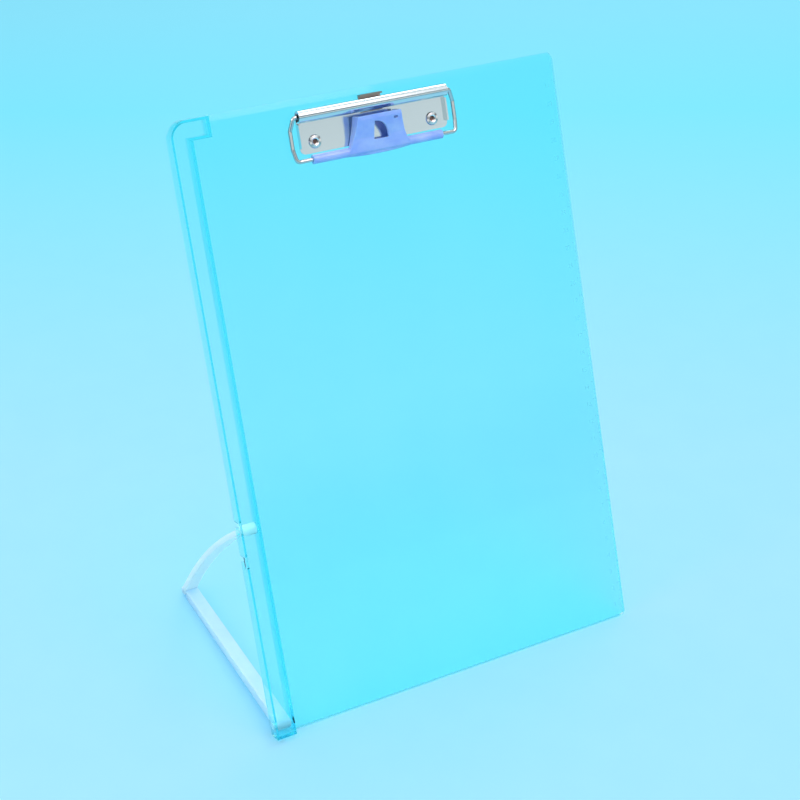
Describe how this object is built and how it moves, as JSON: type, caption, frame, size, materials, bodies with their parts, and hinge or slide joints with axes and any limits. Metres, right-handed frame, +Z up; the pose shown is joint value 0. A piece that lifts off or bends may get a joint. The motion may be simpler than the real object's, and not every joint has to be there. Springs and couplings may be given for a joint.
{
  "type": "clipboard",
  "caption": "Clear plastic A4 clipboard with a side rail, a fold-out easel stand that stows in the rail, and a wire-bail lever clip.",
  "frame": {"origin": "centre of the bounding box in X and Y, on the floor that the board's foot edge and the stand's elbow rest on", "axes": "+Z up, +X to the board's right as its paper face is read, -Y the side that the paper face looks towards"},
  "size_m": [0.222, 0.1412, 0.3083],
  "materials": {
    "clear_board": "clear cyan, polished",
    "steel_pin": "turned steel",
    "frosted_link": "frosted natural plastic",
    "chrome_sheet": "satin chromed sheet",
    "bronze_tab": "bronzed sheet",
    "chrome_wire": "polished chromed wire",
    "blue_lever": "moulded, slightly translucent",
    "rivet_metal": "nickel-plated"
  },
  "bodies": {
    "board": {"board_panel": "clear_board", "arm_pivot_pin": "steel_pin", "clip_base_plate": "chrome_sheet", "hanger_tab": "bronze_tab", "clip_rivets": "rivet_metal", "rivet_washers": "rivet_metal"},
    "base_arm": {"stand_base_arm": "frosted_link", "elbow_pin": "steel_pin"},
    "strut": {"stand_strut": "frosted_link"},
    "bail": {"clip_bail": "chrome_wire"},
    "lever": {"clip_lever": "blue_lever"}
  },
  "joints": [
    {"name": "base_arm_fold", "type": "hinge", "parent": "board", "child": "base_arm", "pos_m": [-0.1055, -0.06374, 0.0073], "axis": [1, 0, 0], "range_deg": [0, 72.13]},
    {"name": "strut_fold", "type": "hinge", "parent": "base_arm", "child": "strut", "pos_m": [-0.1055, 0.06817, 0.0024], "axis": [1, 0, 0], "range_deg": [-135, 0]},
    {"name": "bail_lift", "type": "hinge", "parent": "board", "child": "bail", "pos_m": [-0.0005, 0.04005, 0.29889], "axis": [-1, 0, 0], "range_deg": [0, 3.5]},
    {"name": "lever_flip", "type": "hinge", "parent": "bail", "child": "lever", "pos_m": [-0.0005, 0.0331, 0.27748], "axis": [1, 0, 0], "range_deg": [0, 100]}
  ],
  "couplings": [
    {"joint": "strut_fold", "follows": "base_arm_fold", "ratio": -1.8586},
    {"joint": "bail_lift", "follows": "lever_flip", "ratio": 0.034}
  ]
}
